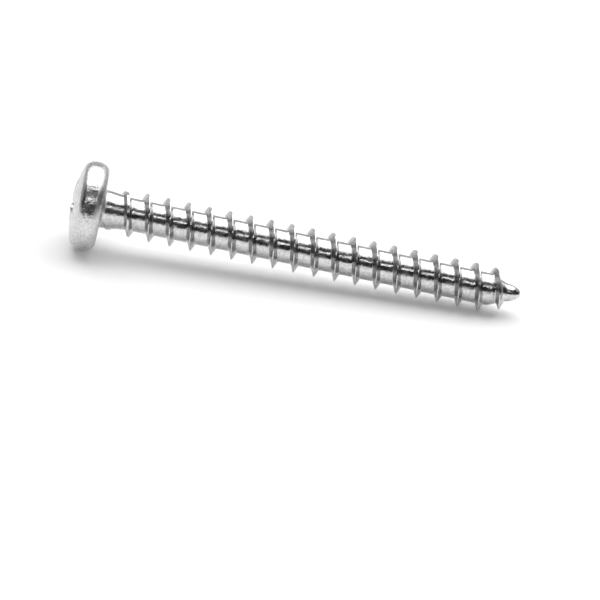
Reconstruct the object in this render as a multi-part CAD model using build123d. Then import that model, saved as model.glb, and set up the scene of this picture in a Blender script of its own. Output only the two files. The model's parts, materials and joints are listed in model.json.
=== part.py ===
"""Pan-head sheet metal screw, No. 10 with 12 threads to the inch, 1-3/4 in long, type A point.

One piece: the head is cold formed on the end of a wire, a cross recess is punched into it, and a
widely spaced sharp thread is rolled over the shank, down to a rounded gimlet point.

The screw is built upright in a frame of its own: z is 0 at the bearing face under the head and
grows towards the point. It is then laid down the way it rests on a table, on the rim of its head
and on the last full thread crest, with its point towards +X. Millimetres throughout.
"""
from build123d import *
import os
from math import atan2, cos, degrees, pi, radians, sin, tan

# Head
head_diameter = 9.07
head_height = 3.14
rim_height = 1.10           # widest part of the head, above the bearing face
shoulder_inset = 0.235      # from the widest part in to where the side meets the dome, before rounding
shoulder_height = 2.30
shoulder_rounding = 1.00
bearing_inset = 0.635       # from the widest part in to the outer edge of the flat under the head
neck_fillet = 0.30

# Shank
length = 43.1               # under the head
neck_diameter = 3.84        # the wire as it was headed, above the thread
root_start = 3.10           # the neck has narrowed to the thread's root here, under the head
root_diameter = 3.30
point_angle = 46.5          # included angle of the cone
tip_radius = 0.43

# Thread
major_diameter = 4.78
pitch = 25.4 / 12
flank_angle = 50.0          # included angle between the flanks
crest_width = 0.09
crest_offset = 1.18         # bearing face to the crest line, on the side that lies down
runout_start = 0.70         # where the thread begins to rise out of the neck
runout_length = 3.40
runout_shape = 0.5          # power of the rise: under 1, the crest rises fast and then levels
point_fade_start = 1.75     # distances from the tip between which the thread sinks into the cone
point_fade_end = 0.65
thread_sink = 0.20          # how far the thread's own solid reaches into the shank
points_per_turn = 16

# Cross recess
recess_diameter = 4.80
recess_depth = 2.95
recess_floor_depth = 0.42   # height of the blunt point at the bottom
wing_width = 0.98
wing_end_slope = 26.5       # degrees between the wing ends and the axis
wing_draft = 3.0            # degrees, on the sides of the wings
recess_corner = 0.62        # rounding between neighbouring wings, at the top of the head
recess_draw_out = 0.40      # how far the punch's wings go on above the top of the head
recess_corner_end = 0.25    # share of the corner rounding that is left at the full depth
recess_point_size = 1 / 3   # size of the blunt bottom, against the wings' lower ends
recess_turn = 78.0          # degrees about the axis, from straight up to the first wing

# At rest
roll = 2.7                  # degrees that the screw has rolled about its axis as it came to rest

head_radius = head_diameter / 2
shoulder_radius = head_radius - shoulder_inset
bearing_radius = head_radius - bearing_inset
neck_radius = neck_diameter / 2
root_radius = root_diameter / 2
major_radius = major_diameter / 2
half_point = radians(point_angle / 2)
flank_slope = tan(radians(flank_angle / 2))
cone_apex = length - tip_radius + tip_radius / sin(half_point)
cone_start = cone_apex - root_radius / tan(half_point)


def ramp(value, start, end):
    """0 before start, 1 after end, and straight in between."""
    return min(max((value - start) / (end - start), 0), 1)


def shank_radius(z):
    """Radius of the shank without its thread, at a distance z under the head."""
    x = ramp(z, neck_fillet, root_start)
    neck = neck_radius + (root_radius - neck_radius) * x * x * (3 - 2 * x)
    return min(neck, (cone_apex - z) * tan(half_point))


def sharp_radius(z):
    """Radius that the flanks run up to: level along the shank, and following the cone."""
    on_cone = (cone_apex - z) * tan(half_point) + major_radius - root_radius
    return min(major_radius, on_cone)


def crest_height(z):
    """Height of the rolled crest over the shank: low under the head, full, then sunk at the tip."""
    full = sharp_radius(z) - shank_radius(z)
    sunk = -thread_sink / 2
    rise = ramp(z, runout_start, runout_start + runout_length) ** runout_shape
    rolled = neck_radius + sunk + (major_radius - neck_radius - sunk) * rise - shank_radius(z)
    fade = ramp(length - z, point_fade_end, point_fade_start)
    return sunk + (min(rolled, full) - sunk) * fade


def head_and_shank():
    """Head, neck, shank and point, revolved from one section."""
    rim = (head_radius, -rim_height)
    shoulder = (shoulder_radius, -shoulder_height)
    tip_tangent = (tip_radius * cos(half_point), length - tip_radius + tip_radius * sin(half_point))
    outline = [
        TangentArc((0, -head_height), shoulder, tangent=(1, 0)),
        TangentArc(rim, shoulder, tangent=(0, -1)),
        TangentArc(rim, (bearing_radius, 0), tangent=(0, 1)),
        Line((bearing_radius, 0), (neck_radius + neck_fillet, 0)),
        TangentArc((neck_radius + neck_fillet, 0), (neck_radius, neck_fillet), tangent=(-1, 0)),
        Spline((neck_radius, neck_fillet), (root_radius, root_start), tangents=[(0, 1), (0, 1)]),
        Line((root_radius, root_start), (root_radius, cone_start)),
        Line((root_radius, cone_start), tip_tangent),
        TangentArc(tip_tangent, (0, length), tangent=(-sin(half_point), cos(half_point))),
        Line((0, length), (0, -head_height)),
    ]
    section = make_face(Wire(outline))
    corner = section.vertices().sort_by_distance(Vector(*shoulder))[0]
    section = fillet(corner, shoulder_rounding)
    return revolve(Plane.XZ * section, Axis.Z)


def thread_ridge():
    """The thread as a solid of its own, whose base lies inside the shank."""
    upper_crest = crest_offset - pitch / 2
    count = int((length - point_fade_end - runout_start) / pitch * points_per_turn)
    rails = [[], [], [], []]
    for step in range(count + 1):
        z = runout_start + step * pitch / points_per_turn
        angle = 2 * pi * (z - upper_crest) / pitch
        full = sharp_radius(z) - shank_radius(z)
        height = crest_height(z)
        half_crest = crest_width / 2 + (full - height) * flank_slope
        half_base = crest_width / 2 + (full + thread_sink) * flank_slope
        corners = [(-half_base, -thread_sink), (-half_crest, height),
                   (half_crest, height), (half_base, -thread_sink)]
        for rail, (along, out) in zip(rails, corners):
            radius = shank_radius(z + along) + out
            rail.append(Vector(radius * cos(angle), radius * sin(angle), z + along))
    edges = [Edge.make_spline(rail) for rail in rails]
    faces = [Face.make_surface_from_curves(edges[i], edges[(i + 1) % 4]) for i in range(4)]
    for end in (0, -1):
        faces.append(Face(Wire.make_polygon([rail[end] for rail in rails])))
    return Solid(Shell(faces))


def recess_section(depth, wing_length, half_width, corner):
    """The recess's outline at one depth below the top of the head."""
    edges = []
    for quarter in range(4):
        wing = [
            Line((wing_length, -half_width), (wing_length, half_width)),
            Line((wing_length, half_width), (half_width + corner, half_width)),
            TangentArc((half_width + corner, half_width), (half_width, half_width + corner),
                       tangent=(-1, 0)),
            Line((half_width, half_width + corner), (half_width, wing_length)),
        ]
        edges += [Rot(0, 0, 90 * quarter) * edge for edge in wing]
    outline = make_face(Wire(edges))
    return Pos(0, 0, depth - head_height) * Rot(0, 0, recess_turn) * outline


def cross_recess():
    """The punch that forms the recess: four tapered wings that end in a blunt point."""
    wings_end = recess_depth - recess_floor_depth
    sections = []
    for depth in (-recess_draw_out, wings_end):
        wing_length = recess_diameter / 2 - depth * tan(radians(wing_end_slope))
        half_width = wing_width / 2 - depth * tan(radians(wing_draft))
        corner = recess_corner * (1 - (1 - recess_corner_end) * depth / recess_depth)
        sections.append(recess_section(depth, wing_length, half_width, corner))
    bottom = [size * recess_point_size for size in (wing_length, half_width, corner)]
    sections.append(recess_section(recess_depth, *bottom))
    return loft(sections, ruled=True)


def lay_down(screw):
    """Turn the point to +X, and lower the screw on to its rim and its last full crest."""
    turns = int((cone_start - crest_offset) / pitch)
    contact = crest_offset + turns * pitch
    tilt = atan2(head_radius - major_radius, contact + rim_height)
    lying = Plane((0, 0, 0), x_dir=(sin(tilt), 0, cos(tilt)), z_dir=(cos(tilt), 0, -sin(tilt)))
    screw = lying.location * Rot(0, 0, roll) * screw
    box = screw.bounding_box()
    print(f"rests tilted by {degrees(tilt):.2f} degrees, {contact:.2f} mm under the head")
    return Pos(-box.center().X, -box.center().Y, -box.min.Z) * screw


screw = lay_down(head_and_shank() + thread_ridge() - cross_recess())
os.makedirs("parts", exist_ok=True)
export_step(screw, "parts/screw.step")
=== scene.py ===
"""Looks of a pan-head sheet metal screw that lies on a white studio floor.

The whole screw is one mesh, built in the screw's own frame and then laid where the CAD part lies.
In that frame z runs along the axis, from 0 at the bearing face under the head to the point, x is
the side that faces up, y is the side towards the camera, and sizes are millimetres.
"""
import json
from math import atan2, ceil, cos, hypot, pi, radians, sin, sqrt, tan

import bpy
import numpy as np
from mathutils import Matrix, Vector, noise


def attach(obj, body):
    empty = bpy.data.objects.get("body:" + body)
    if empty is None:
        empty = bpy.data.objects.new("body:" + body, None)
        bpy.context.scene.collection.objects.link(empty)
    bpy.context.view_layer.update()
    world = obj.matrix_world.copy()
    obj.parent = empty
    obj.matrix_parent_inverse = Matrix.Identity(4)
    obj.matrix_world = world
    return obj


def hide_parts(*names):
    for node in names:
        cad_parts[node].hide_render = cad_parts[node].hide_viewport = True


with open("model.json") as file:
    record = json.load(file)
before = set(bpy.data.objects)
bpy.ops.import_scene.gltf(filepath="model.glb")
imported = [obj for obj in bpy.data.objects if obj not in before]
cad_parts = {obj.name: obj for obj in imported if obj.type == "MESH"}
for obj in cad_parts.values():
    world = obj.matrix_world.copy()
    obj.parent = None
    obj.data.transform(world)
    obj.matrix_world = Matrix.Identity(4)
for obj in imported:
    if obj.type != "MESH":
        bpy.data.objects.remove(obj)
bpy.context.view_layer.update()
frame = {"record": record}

MM = 0.001

# Head
HEAD_RADIUS = 4.530
HEAD_HEIGHT = 3.14
RIM_HEIGHT = 1.10
SHOULDER_RADIUS = 4.30
SHOULDER_HEIGHT = 2.30
SHOULDER_ROUNDING = 1.00
BEARING_RADIUS = 3.90
NECK_FILLET = 0.30

# Shank and point
LENGTH = 43.1
NECK_RADIUS = 1.92
ROOT_START = 3.10
ROOT_RADIUS = 1.65
HALF_POINT = radians(23.25)
TIP_RADIUS = 0.43
CONE_APEX = LENGTH - TIP_RADIUS + TIP_RADIUS / sin(HALF_POINT)
TIP_BEND = 0.12
TIP_BEND_START = LENGTH - 3.0
TIP_SHORTER = 0.02
TIP_SWELL = 0.32
TIP_SWELL_SPAN = (LENGTH - 1.7, LENGTH - 0.5)
TIP_RING_Z = LENGTH - 0.36

# Thread
MAJOR_RADIUS = 2.39
PITCH = 25.4 / 12
FLANK_SLOPE = tan(radians(25.0))
CREST_HALF = 0.045
UPPER_CREST = 1.18 - PITCH / 2
ROOT_FILLET = 0.13
RUNOUT_START = 0.70
RUNOUT_LENGTH = 3.40
RUNOUT_SHAPE = 0.5
RUNOUT_SINK = 0.1
POINT_FADE_START = 1.90
POINT_FADE_END = 0.90
GRID_START = 0.74
EDGE_CLEARANCE = 0.05

# How far the screw has rolled about its axis, as it lies
ROLL = radians(2.7)

# Cross recess
RECESS_RADIUS = 2.40
RECESS_DEPTH = 2.95
RECESS_FLOOR = 0.42
WING_HALF = 0.49
WING_END_SLOPE = tan(radians(26.5))
WING_DRAFT = tan(radians(3.0))
RECESS_CORNER = 0.62
RECESS_CORNER_LOSS = 0.75
WING_END_ROUND = 0.12
RECESS_TURN = radians(78.0)
LIP = 0.05
LIP_DEPTH = 0.04
LIP_DEPTH_GROW = 0.012
WALL_START = 0.09

# Waves and dents in the surface: noise cells in a millimetre, and height in millimetres
HEAD_END = 0.05
HEAD_WAVE = (0.9, 0.012)
HEAD_DENT = (2.3, 0.005)
HEAD_DENTED = (2.9, 3.6)
THREAD_WAVE = (1.1, 0.010)
THREAD_DENT = (3.1, 0.007)
THREAD_DENT_SHIFT = Vector((7, 3, 1))
CREST_BAND = (ROOT_RADIUS + 0.1, MAJOR_RADIUS - 0.1)
CREST_CALM = 0.7
PEBBLE_INSET = 0.006

# Finishes, in the order of the material slots; the flanks' slot is a duller finish with a darker
# colour that is painted shade
THREAD, HEAD, FLANK_DULL_WITH_PAINTED_SHADE, RIM = range(4)
RIM_BAND = (-2.15, -0.80)

# Share of the steel's colour that is left in its small stains
STAIN = 0.74

# Noise cells in a metre, for the stains and for the patches of roughness
STAIN_SCALE = 3500.0
PATCH_SCALE = 1500.0

# White floor, in metres
FLOOR_HALF = 6.0
FLOOR_LIFT = 0.14

# Lamps, in metres and watts
SOFTBOX_PLACE = (0.0, 0.10, 0.30)
SOFTBOX_SIZE = (0.60, 0.44)
SOFTBOX_POWER = 1.70
STRIP_PLACE = (0.0, -0.30, 0.27)
STRIP_SIZE = (0.60, 0.025)
STRIP_POWER = 0.2

# The studio's walls brighten from the near side to the far side
WALL_SPAN = (-0.15, 0.55)
WALL_STRENGTHS = (0.02, 0.45)

# Mesh density
COLUMNS = 128
ROOT_ROWS = 7
FILLET_ROWS = 3
FLANK_ROWS = 4
STRIP_ROWS = 10
FILLET_INSIDE = 0.35
FILLET_OUTSIDE = 1.1
NECK_STEPS = 7
BEARING_STEPS = 8
RIM_STEPS = 12
HEAD_SIDE_STEPS = 6
SHOULDER_STEPS = 12
DOME_STEPS = 16
WALL_STEPS = 14
RECESS_FLOOR_STEPS = 6
TIP_STEPS = 7
SHARP_ANGLE = radians(38)

# Camera, as it stands to the screw
CAMERA_ELEVATION = radians(25.0)
CAMERA_YAW = radians(5.1)
CAMERA_SLOPE = radians(11.73)
CAMERA_DISTANCE = 350.0
FIELD_OF_VIEW = radians(9.84)
AIM_ALONG = 20.3
AIM_BELOW = 5.04


def ramp(value, start, end):
    """0 before start, 1 after end, and straight in between."""
    return np.clip((value - start) / (end - start), 0.0, 1.0)


def smooth(x):
    return x * x * (3 - 2 * x)


# ---------------------------------------------------------------- the thread's shape

def shank_radius(z):
    neck = NECK_RADIUS + (ROOT_RADIUS - NECK_RADIUS) * smooth(ramp(z, NECK_FILLET, ROOT_START))
    cone = (CONE_APEX - z) * tan(HALF_POINT)
    return np.minimum(neck, cone)


def thread_heights(crest_z):
    """Full and rolled height of the thread over the shank, where its crest line is at crest_z."""
    shank = shank_radius(crest_z)
    on_cone = (CONE_APEX - crest_z) * tan(HALF_POINT) + MAJOR_RADIUS - ROOT_RADIUS
    fade = smooth(ramp(LENGTH - crest_z, POINT_FADE_END, POINT_FADE_START))
    full = (np.minimum(MAJOR_RADIUS, on_cone) - shank) * fade
    rise = ramp(crest_z, RUNOUT_START, RUNOUT_START + RUNOUT_LENGTH) ** RUNOUT_SHAPE
    start = NECK_RADIUS - RUNOUT_SINK
    rolled = start + (MAJOR_RADIUS - start) * rise - shank
    return full, np.minimum(rolled, full)


def thread_radius(z, crest_z):
    """Radius of the threaded surface at z, beside the crest line at crest_z."""
    full, height = thread_heights(crest_z)
    flank = full - (np.abs(z - crest_z) - CREST_HALF) / FLANK_SLOPE
    ridge = np.minimum(flank, height)
    blend = ROOT_FILLET
    overlap = np.clip(0.5 + ridge / (2 * blend), 0.0, 1.0)
    rounded = ridge * overlap + blend * overlap * (1 - overlap)
    return shank_radius(z) + rounded


def crest_line(column):
    """z of the crest line at an unwrapped column number."""
    return UPPER_CREST + PITCH * column / COLUMNS


# ---------------------------------------------------------------- mesh building

class Builder:
    """Collects the vertices and faces of the screw."""

    def __init__(self):
        self.points = []
        self.faces = []
        self.finish = []

    def add(self, x, y, z):
        self.points.append((x, y, z))
        return len(self.points) - 1

    def add_polar(self, radius, column, z):
        angle = 2 * pi * column / COLUMNS
        return self.add(radius * cos(angle), radius * sin(angle), z)

    def face(self, corners, finish=THREAD):
        self.faces.append(corners)
        self.finish.append(finish)

    def bridge(self, first, second, finish=THREAD):
        """Quads between two closed rings with as many vertices."""
        count = len(first)
        for k in range(count):
            n = (k + 1) % count
            self.face((first[k], first[n], second[n], second[k]), finish)

    def ladder(self, left, right, finish_of_row=lambda row: THREAD):
        """Quads between two columns with as many vertices; z grows along each column."""
        for k in range(len(left) - 1):
            self.face((left[k], right[k], right[k + 1], left[k + 1]), finish_of_row(k))

    def zipper(self, left, right):
        """Triangles between two columns of different lengths that share the order of z."""
        a = b = 0
        while a < len(left) - 1 or b < len(right) - 1:
            step_left = b == len(right) - 1
            if not step_left and a < len(left) - 1:
                step_left = self.points[left[a + 1]][2] < self.points[right[b + 1]][2]
            if step_left:
                self.face((left[a], right[b], left[a + 1]))
                a += 1
            else:
                self.face((left[a], right[b], right[b + 1]))
                b += 1


def column_rows(column, left_edge, right_edge):
    """z of each row of one column, from edge to edge, with the crest line between them."""
    crest_z = crest_line(column)
    full, height = thread_heights(crest_z)
    half_crest = CREST_HALF + max(full - max(height, 0.0), 0.0) * FLANK_SLOPE
    half_base = half_crest + max(height, 0.0) * FLANK_SLOPE
    inner = half_base - FILLET_INSIDE * ROOT_FILLET
    outer = half_base + FILLET_OUTSIDE * ROOT_FILLET
    left_outer = max(crest_z - outer, left_edge + EDGE_CLEARANCE)
    right_outer = min(crest_z + outer, right_edge - EDGE_CLEARANCE)
    knots = [
        (left_edge, left_outer, ROOT_ROWS),
        (left_outer, crest_z - inner, FILLET_ROWS),
        (crest_z - inner, crest_z - half_crest, FLANK_ROWS),
        (crest_z - half_crest, crest_z + half_crest, 2),
        (crest_z + half_crest, crest_z + inner, FLANK_ROWS),
        (crest_z + inner, right_outer, FILLET_ROWS),
        (right_outer, right_edge, ROOT_ROWS),
    ]
    rows = []
    for start, end, steps in knots:
        rows += [start + (end - start) * k / steps for k in range(steps)]
    return rows, crest_z


def row_finish_with_painted_shade(row):
    """The flanks have a material of their own: a duller finish, and a darker colour that is painted
    shade.
    """
    first = ROOT_ROWS + FILLET_ROWS
    after_crest = first + FLANK_ROWS + 2
    on_flank = first <= row < first + FLANK_ROWS or after_crest <= row < after_crest + FLANK_ROWS
    return FLANK_DULL_WITH_PAINTED_SHADE if on_flank else THREAD


def build_thread(mesh, neck_ring_z, tip_ring_z):
    """The threaded surface, and the strips that join it to a ring at the neck and one at the tip.

    Returns both rings, each in the order of the columns of one turn.
    """
    first = ceil((GRID_START - UPPER_CREST) / PITCH * COLUMNS)
    last = int((LENGTH - POINT_FADE_END - UPPER_CREST) / PITCH * COLUMNS)
    neck_edge = neck_ring_z + EDGE_CLEARANCE
    tip_edge = tip_ring_z - EDGE_CLEARANCE

    def edge(column):
        """z of the boundary on the head side of a column's thread."""
        if column < first + COLUMNS:
            end = crest_line(first + COLUMNS) - PITCH / 2
            return neck_edge + (end - neck_edge) * (column - first) / COLUMNS
        if column > last:
            start = crest_line(last) - PITCH / 2
            return start + (tip_edge - start) * (column - last) / COLUMNS
        return crest_line(column) - PITCH / 2

    columns = {}
    for column in range(first, last + 1):
        rows, crest_z = column_rows(column, edge(column), edge(column + COLUMNS))
        radii = thread_radius(np.array(rows), crest_z)
        columns[column] = [mesh.add_polar(r, column, z) for r, z in zip(radii, rows)]
    for column in range(last + 1, last + COLUMNS + 1):
        z = edge(column)
        columns[column] = [mesh.add_polar(float(shank_radius(z)), column, z)]
    full = {c: columns[c] + [columns[c + COLUMNS][0]] for c in range(first, last + 1)}
    for column in range(first, last):
        mesh.ladder(full[column], full[column + 1], row_finish_with_painted_shade)

    # Between the neck's ring and the head-side edge of the first turn.
    ring, strips = {}, {}
    for column in range(first, first + COLUMNS):
        ring[column] = mesh.add_polar(float(shank_radius(neck_ring_z)), column, neck_ring_z)
        strip = [ring[column]]
        for k in range(1, STRIP_ROWS):
            z = neck_ring_z + (edge(column) - neck_ring_z) * k / STRIP_ROWS
            strip.append(mesh.add_polar(float(shank_radius(z)), column, z))
        strips[column] = strip + [columns[column][0]]
    for column in range(first, first + COLUMNS - 1):
        mesh.ladder(strips[column], strips[column + 1])
    mesh.zipper(strips[first + COLUMNS - 1], strips[first][:-1] + full[first])
    neck_ring = [ring[c] for c in sorted(ring, key=lambda c: c % COLUMNS)]

    # Between the point-side edge of the last turn and the ring at the tip.
    ring, strips = {}, {}
    for column in range(last + 1, last + COLUMNS + 1):
        strip = [columns[column][0]]
        for k in range(1, STRIP_ROWS):
            z = edge(column) + (tip_ring_z - edge(column)) * k / STRIP_ROWS
            strip.append(mesh.add_polar(float(shank_radius(z)), column, z))
        ring[column] = mesh.add_polar(float(shank_radius(tip_ring_z)), column, tip_ring_z)
        strips[column] = strip + [ring[column]]
    for column in range(last + 1, last + COLUMNS):
        mesh.ladder(strips[column], strips[column + 1])
    mesh.zipper(full[last] + strips[last + COLUMNS][1:], strips[last + 1])
    tip_ring = [ring[c] for c in sorted(ring, key=lambda c: c % COLUMNS)]
    return neck_ring, tip_ring


def build_tip(mesh, ring):
    """The rounded end of the point, closed at its pole."""
    centre = LENGTH - TIP_RADIUS
    start = centre + TIP_RADIUS * sin(HALF_POINT)
    profile = [(float(shank_radius(start)), start)]
    for k in range(1, TIP_STEPS):
        angle = HALF_POINT + (pi / 2 - HALF_POINT) * k / TIP_STEPS
        profile.append((TIP_RADIUS * cos(angle), centre + TIP_RADIUS * sin(angle)))
    for radius, z in profile:
        following = [mesh.add_polar(radius, k, z) for k in range(COLUMNS)]
        mesh.bridge(ring, following)
        ring = following
    pole = mesh.add(0.0, 0.0, LENGTH)
    for k in range(COLUMNS):
        mesh.face((ring[k], ring[(k + 1) % COLUMNS], pole))


# ---------------------------------------------------------------- the head's shape

def arc(centre, radius, start, end, steps):
    """Points (radius, z) on an arc, from one angle to another, both included."""
    angles = [start + (end - start) * k / steps for k in range(steps + 1)]
    return [(centre[0] + radius * cos(a), centre[1] + radius * sin(a)) for a in angles]


def circle_crossing(first, first_radius, second, second_radius):
    """The crossing of two circles that lies further from the axis."""
    dx, dz = second[0] - first[0], second[1] - first[1]
    gap = hypot(dx, dz)
    along = (first_radius ** 2 - second_radius ** 2 + gap ** 2) / (2 * gap)
    off = sqrt(first_radius ** 2 - along ** 2)
    options = []
    for side in (-1, 1):
        radius = first[0] + (along * dx + side * off * dz) / gap
        z = first[1] + (along * dz - side * off * dx) / gap
        options.append((radius, z))
    return max(options)


def tangent_radius(across, along):
    """Radius of an arc that leaves a line at a tangent and moves that far across and along it."""
    return (across ** 2 + along ** 2) / (2 * across)


DOME_RADIUS = tangent_radius(HEAD_HEIGHT - SHOULDER_HEIGHT, SHOULDER_RADIUS)
DOME_CENTRE = (0.0, DOME_RADIUS - HEAD_HEIGHT)


def dome_z(radius):
    return DOME_CENTRE[1] - sqrt(DOME_RADIUS ** 2 - radius ** 2)


def head_profile():
    """(radius, z) from the neck, over the bearing face, rim and shoulder, to the dome."""
    lower_radius = tangent_radius(HEAD_RADIUS - BEARING_RADIUS, RIM_HEIGHT)
    upper_radius = tangent_radius(HEAD_RADIUS - SHOULDER_RADIUS, SHOULDER_HEIGHT - RIM_HEIGHT)
    lower = (HEAD_RADIUS - lower_radius, -RIM_HEIGHT)
    upper = (HEAD_RADIUS - upper_radius, -RIM_HEIGHT)
    corner = circle_crossing(upper, upper_radius - SHOULDER_ROUNDING,
                             DOME_CENTRE, DOME_RADIUS - SHOULDER_ROUNDING)
    side_end = atan2(corner[1] - upper[1], corner[0] - upper[0])
    dome_start = atan2(corner[1] - DOME_CENTRE[1], corner[0] - DOME_CENTRE[0])
    fillet_centre = (NECK_RADIUS + NECK_FILLET, NECK_FILLET)
    profile = arc(fillet_centre, NECK_FILLET, pi, 1.5 * pi, NECK_STEPS)
    inner, outer = NECK_RADIUS + NECK_FILLET, BEARING_RADIUS
    profile += [(inner + (outer - inner) * k / BEARING_STEPS, 0.0) for k in range(1, BEARING_STEPS)]
    bearing_end = atan2(RIM_HEIGHT, BEARING_RADIUS - lower[0])
    profile += arc(lower, lower_radius, bearing_end, 0.0, RIM_STEPS)
    profile += arc(upper, upper_radius, 0.0, side_end, HEAD_SIDE_STEPS)[1:]
    profile += arc(corner, SHOULDER_ROUNDING, side_end, dome_start, SHOULDER_STEPS)[1:]
    return profile


def recess_outline(depth, grow=0.0, shrink=1.0):
    """One closed outline of the recess, with COLUMNS points, counted from the first column."""
    length = (RECESS_RADIUS - depth * WING_END_SLOPE) * shrink + grow
    half = (WING_HALF - depth * WING_DRAFT) * shrink + grow
    corner = RECESS_CORNER * (1 - RECESS_CORNER_LOSS * depth / RECESS_DEPTH) * shrink
    round_end = min(WING_END_ROUND * shrink, half / 2)
    quarter = COLUMNS // 4
    arc_steps, side_steps, end_steps = 8, 7, 3
    points = []
    # From the middle of one wing's end to the middle of the next.
    points += [(length, (half - round_end) * k / 2) for k in range(2)]
    points += arc((length - round_end, half - round_end), round_end, 0, pi / 2, end_steps)
    inner = half + corner
    start = length - round_end
    points += [(start + (inner - start) * k / side_steps, half) for k in range(1, side_steps)]
    bend = arc((inner, inner), corner, 1.5 * pi, pi, arc_steps)
    points += bend[:arc_steps // 2 + 1]
    mirrored = [(y, x) for x, y in points[1:-1]][::-1]
    points += mirrored
    assert len(points) == quarter, len(points)
    outline = []
    for turn in range(4):
        c, s = cos(turn * pi / 2 + RECESS_TURN), sin(turn * pi / 2 + RECESS_TURN)
        outline += [(x * c - y * s, x * s + y * c) for x, y in points]
    shift = round(RECESS_TURN / (2 * pi) * COLUMNS)
    return [outline[(k - shift) % COLUMNS] for k in range(COLUMNS)]


def build_head(mesh, neck_ring):
    """Everything above the neck's ring: bearing face, rim, dome and the recess."""
    ring = neck_ring
    for radius, z in head_profile():
        following = [mesh.add_polar(radius, k, z) for k in range(COLUMNS)]
        on_rim = RIM_BAND[0] < z < RIM_BAND[1]
        mesh.bridge(following, ring, RIM if on_rim else HEAD)
        ring = following
    radius = hypot(*mesh.points[ring[0]][:2])

    # The dome's circles turn little by little into the outline of the recess.
    mouth = recess_outline(0.0, LIP)
    for k in range(1, DOME_STEPS + 1):
        share = k / DOME_STEPS
        following = []
        for column, (x, y) in enumerate(mouth):
            angle = 2 * pi * column / COLUMNS
            cx = radius * cos(angle) * (1 - share) + x * share
            cy = radius * sin(angle) * (1 - share) + y * share
            following.append(mesh.add(cx, cy, dome_z(hypot(cx, cy))))
        mesh.bridge(following, ring, HEAD)
        ring = following

    # The lip, the walls, and the blunt floor.
    levels = [(LIP_DEPTH, LIP_DEPTH_GROW), (WALL_START, 0.0)]
    wall_end = RECESS_DEPTH - RECESS_FLOOR
    for k in range(1, WALL_STEPS + 1):
        levels.append((WALL_START + (wall_end - WALL_START) * k / WALL_STEPS, 0.0))
    for depth, grow in levels:
        following = []
        for x, y in recess_outline(depth, grow):
            sag = (dome_z(hypot(x, y)) + HEAD_HEIGHT) * (1 - ramp(depth, 0.0, wall_end))
            following.append(mesh.add(x, y, depth - HEAD_HEIGHT + float(sag)))
        mesh.bridge(following, ring, HEAD)
        ring = following
    for k in range(1, RECESS_FLOOR_STEPS):
        depth = wall_end + RECESS_FLOOR * k / RECESS_FLOOR_STEPS
        outline = recess_outline(wall_end, 0.0, 1 - k / RECESS_FLOOR_STEPS)
        following = [mesh.add(x, y, depth - HEAD_HEIGHT) for x, y in outline]
        mesh.bridge(following, ring, HEAD)
        ring = following
    pole = mesh.add(0.0, 0.0, RECESS_DEPTH - HEAD_HEIGHT)
    for k in range(COLUMNS):
        mesh.face((ring[(k + 1) % COLUMNS], ring[k], pole), HEAD)


# ---------------------------------------------------------------- wear and finish

def pebble(points):
    """Small dents and waves over the rolled and cold-formed surfaces, all towards the axis."""
    moved = []
    for x, y, z in points:
        radius = hypot(x, y)
        if radius < 1e-6:
            moved.append((x, y, z))
            continue
        here = Vector((x, y, z))
        if z < HEAD_END:
            wave = noise.noise(here * HEAD_WAVE[0]) * HEAD_WAVE[1]
            dent = noise.noise(here * HEAD_DENT[0]) * HEAD_DENT[1]
            share = float(smooth(ramp(radius, *HEAD_DENTED)))
        else:
            wave = noise.noise(here * THREAD_WAVE[0]) * THREAD_WAVE[1]
            dent = noise.noise(here * THREAD_DENT[0] + THREAD_DENT_SHIFT) * THREAD_DENT[1]
            share = 1 - CREST_CALM * float(smooth(ramp(radius, *CREST_BAND)))
        inward = min((wave + dent) * share - PEBBLE_INSET, 0.0)
        k = (radius + inward) / radius
        moved.append((x * k, y * k, z))
    return moved


def bend_tip(points):
    """The end of the point is a blunt stub that sits a little off the axis."""
    bent = []
    for x, y, z in points:
        share = float(ramp(z, TIP_BEND_START, LENGTH)) ** 2
        swell = 1 + TIP_SWELL * float(smooth(ramp(z, *TIP_SWELL_SPAN)))
        bent.append((x * swell + TIP_BEND * share * cos(CAMERA_ELEVATION),
                     y * swell - TIP_BEND * share * sin(CAMERA_ELEVATION),
                     z - TIP_SHORTER * share))
    return bent


def lying_axes():
    """Matrix to the row frame, in metres, from one with z along the axis, x up and y near, in mm."""
    mount = {m["name"]: m for m in frame["record"]["mounts"]}["under_head"]
    along = Vector(mount["axis"]).normalized()
    near = Vector((0.0, -1.0, 0.0))
    up = near.cross(along)
    turn = Matrix((up, near, along)).transposed().to_4x4()
    return Matrix.Translation(Vector(mount["pos_m"])) @ turn @ Matrix.Scale(MM, 4)


def screw_to_world():
    """Matrix from the screw's own frame, in millimetres, to the row frame, in metres."""
    return lying_axes() @ Matrix.Rotation(ROLL, 4, "Z")


def make_screw(materials):
    mesh = Builder()
    neck_ring, tip_ring = build_thread(mesh, NECK_FILLET, TIP_RING_Z)
    build_tip(mesh, tip_ring)
    build_head(mesh, neck_ring)
    points = bend_tip(pebble(mesh.points))
    data = bpy.data.meshes.new("screw_body")
    data.from_pydata(points, [], mesh.faces)
    data.transform(screw_to_world())
    for material in materials:
        data.materials.append(material)
    data.polygons.foreach_set("material_index", mesh.finish)
    data.polygons.foreach_set("use_smooth", [True] * len(mesh.faces))
    data.set_sharp_from_angle(angle=SHARP_ANGLE)
    data.update()
    screw = bpy.data.objects.new("screw_body", data)
    bpy.context.scene.collection.objects.link(screw)
    return screw


# ---------------------------------------------------------------- materials

def new_material(name):
    material = bpy.data.materials.new(name)
    material.use_nodes = True
    nodes = material.node_tree.nodes
    return material, nodes, material.node_tree.links, nodes["Principled BSDF"]


def noise_node(nodes, links, coordinates, scale, detail=3.0, rough=0.55):
    node = nodes.new("ShaderNodeTexNoise")
    node.inputs["Scale"].default_value = scale
    node.inputs["Detail"].default_value = detail
    node.inputs["Roughness"].default_value = rough
    links.new(coordinates, node.inputs["Vector"])
    return node.outputs["Fac"]


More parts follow.
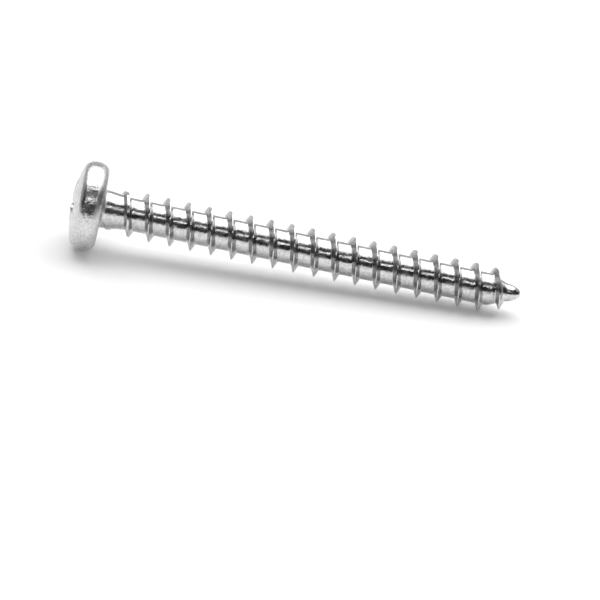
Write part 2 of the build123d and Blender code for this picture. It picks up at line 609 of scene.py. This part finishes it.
def map_range(nodes, links, value, low, high, to_low, to_high):
    node = nodes.new("ShaderNodeMapRange")
    node.inputs["From Min"].default_value = low
    node.inputs["From Max"].default_value = high
    node.inputs["To Min"].default_value = to_low
    node.inputs["To Max"].default_value = to_high
    links.new(value, node.inputs["Value"])
    return node.outputs["Result"]


def bump(nodes, links, height, distance, normal=None):
    node = nodes.new("ShaderNodeBump")
    node.inputs["Distance"].default_value = distance
    links.new(height, node.inputs["Height"])
    if normal is not None:
        links.new(normal, node.inputs["Normal"])
    return node.outputs["Normal"]


def steel(name, color, rough_low, rough_high, pebbles, grain):
    """Bright plated steel with a pebbled skin: pebbles and grain are (size in mm, depth in mm)."""
    material, nodes, links, shader = new_material(name)
    coordinates = nodes.new("ShaderNodeTexCoord").outputs["Object"]
    shader.inputs["Metallic"].default_value = 1.0
    stain = noise_node(nodes, links, coordinates, STAIN_SCALE, 4.0)
    mix = nodes.new("ShaderNodeMix")
    mix.data_type = "RGBA"
    mix.inputs["A"].default_value = (*[c * STAIN for c in color], 1.0)
    mix.inputs["B"].default_value = (*color, 1.0)
    links.new(map_range(nodes, links, stain, 0.35, 0.6, 0.0, 1.0), mix.inputs["Factor"])
    links.new(mix.outputs["Result"], shader.inputs["Base Color"])
    patch = noise_node(nodes, links, coordinates, PATCH_SCALE, 3.0)
    roughness = map_range(nodes, links, patch, 0.35, 0.65, rough_low, rough_high)
    links.new(roughness, shader.inputs["Roughness"])
    coarse = noise_node(nodes, links, coordinates, 1.0 / (pebbles[0] * MM), 2.0)
    fine = noise_node(nodes, links, coordinates, 1.0 / (grain[0] * MM), 2.0)
    normal = bump(nodes, links, coarse, pebbles[1] * MM)
    normal = bump(nodes, links, fine, grain[1] * MM, normal)
    links.new(normal, shader.inputs["Normal"])
    return material


def floor_material():
    """White paper: lit as white, and lifted to a clean white, in the metal's reflections as well."""
    material, nodes, links, shader = new_material("white_floor")
    shader.inputs["Base Color"].default_value = (0.9, 0.9, 0.9, 1.0)
    shader.inputs["Roughness"].default_value = 0.9
    shader.inputs["Specular IOR Level"].default_value = 0.2
    shader.inputs["Emission Color"].default_value = (1.0, 1.0, 1.0, 1.0)
    rays = nodes.new("ShaderNodeLightPath")
    seen = rays.outputs["Is Camera Ray"]
    for kind in ("Is Glossy Ray", "Is Transmission Ray"):
        either = nodes.new("ShaderNodeMath")
        either.operation = "MAXIMUM"
        links.new(seen, either.inputs[0])
        links.new(rays.outputs[kind], either.inputs[1])
        seen = either.outputs["Value"]
    lift = map_range(nodes, links, seen, 0.0, 1.0, 0.0, FLOOR_LIFT)
    links.new(lift, shader.inputs["Emission Strength"])
    return material


# ---------------------------------------------------------------- studio

def make_floor():
    half = FLOOR_HALF
    data = bpy.data.meshes.new("floor")
    data.from_pydata([(-half, -half, 0), (half, -half, 0), (half, half, 0), (-half, half, 0)], [],
                     [(0, 1, 2, 3)])
    data.materials.append(floor_material())
    floor = bpy.data.objects.new("floor", data)
    bpy.context.scene.collection.objects.link(floor)


def area_light(name, position, size_x, size_y, power):
    """A rectangular lamp that faces the row frame's origin."""
    data = bpy.data.lights.new(name, "AREA")
    data.shape = "RECTANGLE"
    data.size = size_x
    data.size_y = size_y
    data.energy = power
    light = bpy.data.objects.new(name, data)
    light.location = position
    light.rotation_euler = (-Vector(position)).to_track_quat("-Z", "Y").to_euler()
    bpy.context.scene.collection.objects.link(light)


def make_world():
    """A plain studio: a dim room on the near side, and a pale wall on the far side."""
    world = bpy.data.worlds.new("studio")
    bpy.context.scene.world = world
    world.use_nodes = True
    nodes, links = world.node_tree.nodes, world.node_tree.links
    background = nodes["Background"]
    direction = nodes.new("ShaderNodeTexCoord").outputs["Generated"]
    split = nodes.new("ShaderNodeSeparateXYZ")
    links.new(direction, split.inputs["Vector"])
    level = map_range(nodes, links, split.outputs["Y"], *WALL_SPAN, *WALL_STRENGTHS)
    background.inputs["Color"].default_value = (1.0, 1.0, 1.0, 1.0)
    links.new(level, background.inputs["Strength"])


def make_lights():
    """A soft box over the far side, and a narrow strip over the near side."""
    area_light("softbox", SOFTBOX_PLACE, *SOFTBOX_SIZE, SOFTBOX_POWER)
    area_light("strip", STRIP_PLACE, *STRIP_SIZE, STRIP_POWER)


def make_camera():
    """The camera keeps its place to the screw's own axis, so the picture is rolled with it."""
    place = lying_axes()
    along = place.to_3x3() @ Vector((0, 0, 1))
    along.normalize()
    up = place.to_3x3() @ Vector((cos(CAMERA_ELEVATION), -sin(CAMERA_ELEVATION), 0))
    up.normalize()
    towards = along.cross(up)
    screw_axes = Matrix((along, up, towards)).transposed()
    yaw = CAMERA_YAW
    slope = CAMERA_SLOPE
    seen_along = Vector((cos(yaw) * cos(slope), -cos(yaw) * sin(slope), -sin(yaw)))
    seen_up = Vector((sin(slope), cos(slope), 0.0))
    seen_axes = Matrix((seen_along, seen_up, seen_along.cross(seen_up))).transposed()
    turn = screw_axes @ seen_axes.transposed()
    aim = place @ Vector((0, 0, AIM_ALONG)) - turn @ Vector((0, AIM_BELOW * MM, 0))
    data = bpy.data.cameras.new("camera")
    data.angle = FIELD_OF_VIEW
    data.clip_start = 0.01
    camera = bpy.data.objects.new("camera", data)
    stand = aim + turn @ Vector((0, 0, CAMERA_DISTANCE * MM))
    camera.matrix_world = Matrix.Translation(stand) @ turn.to_4x4()
    bpy.context.scene.collection.objects.link(camera)
    bpy.context.scene.camera = camera


thread_steel = steel("rolled_steel", (0.70, 0.70, 0.70), 0.12, 0.26, (0.28, 0.016), (0.10, 0.007))
head_steel = steel("headed_steel", (0.72, 0.72, 0.72), 0.30, 0.42, (0.45, 0.012), (0.09, 0.005))
# The flanks' darker base colour is painted shade, for the shadowed floor and dark hollows they
# reflect; their rougher finish is real.
flank_steel_dull_with_painted_shade = steel("flank_steel_dull_with_painted_shade", (0.46, 0.46, 0.46), 0.20, 0.36, (0.22, 0.012), (0.08, 0.005))
rim_steel = steel("burnished_steel", (0.72, 0.72, 0.72), 0.18, 0.30, (0.36, 0.034), (0.10, 0.007))
screw = make_screw([thread_steel, head_steel, flank_steel_dull_with_painted_shade, rim_steel])
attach(screw, "root")
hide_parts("screw")
make_floor()
make_world()
make_lights()
make_camera()
bpy.context.scene.view_settings.view_transform = "Standard"
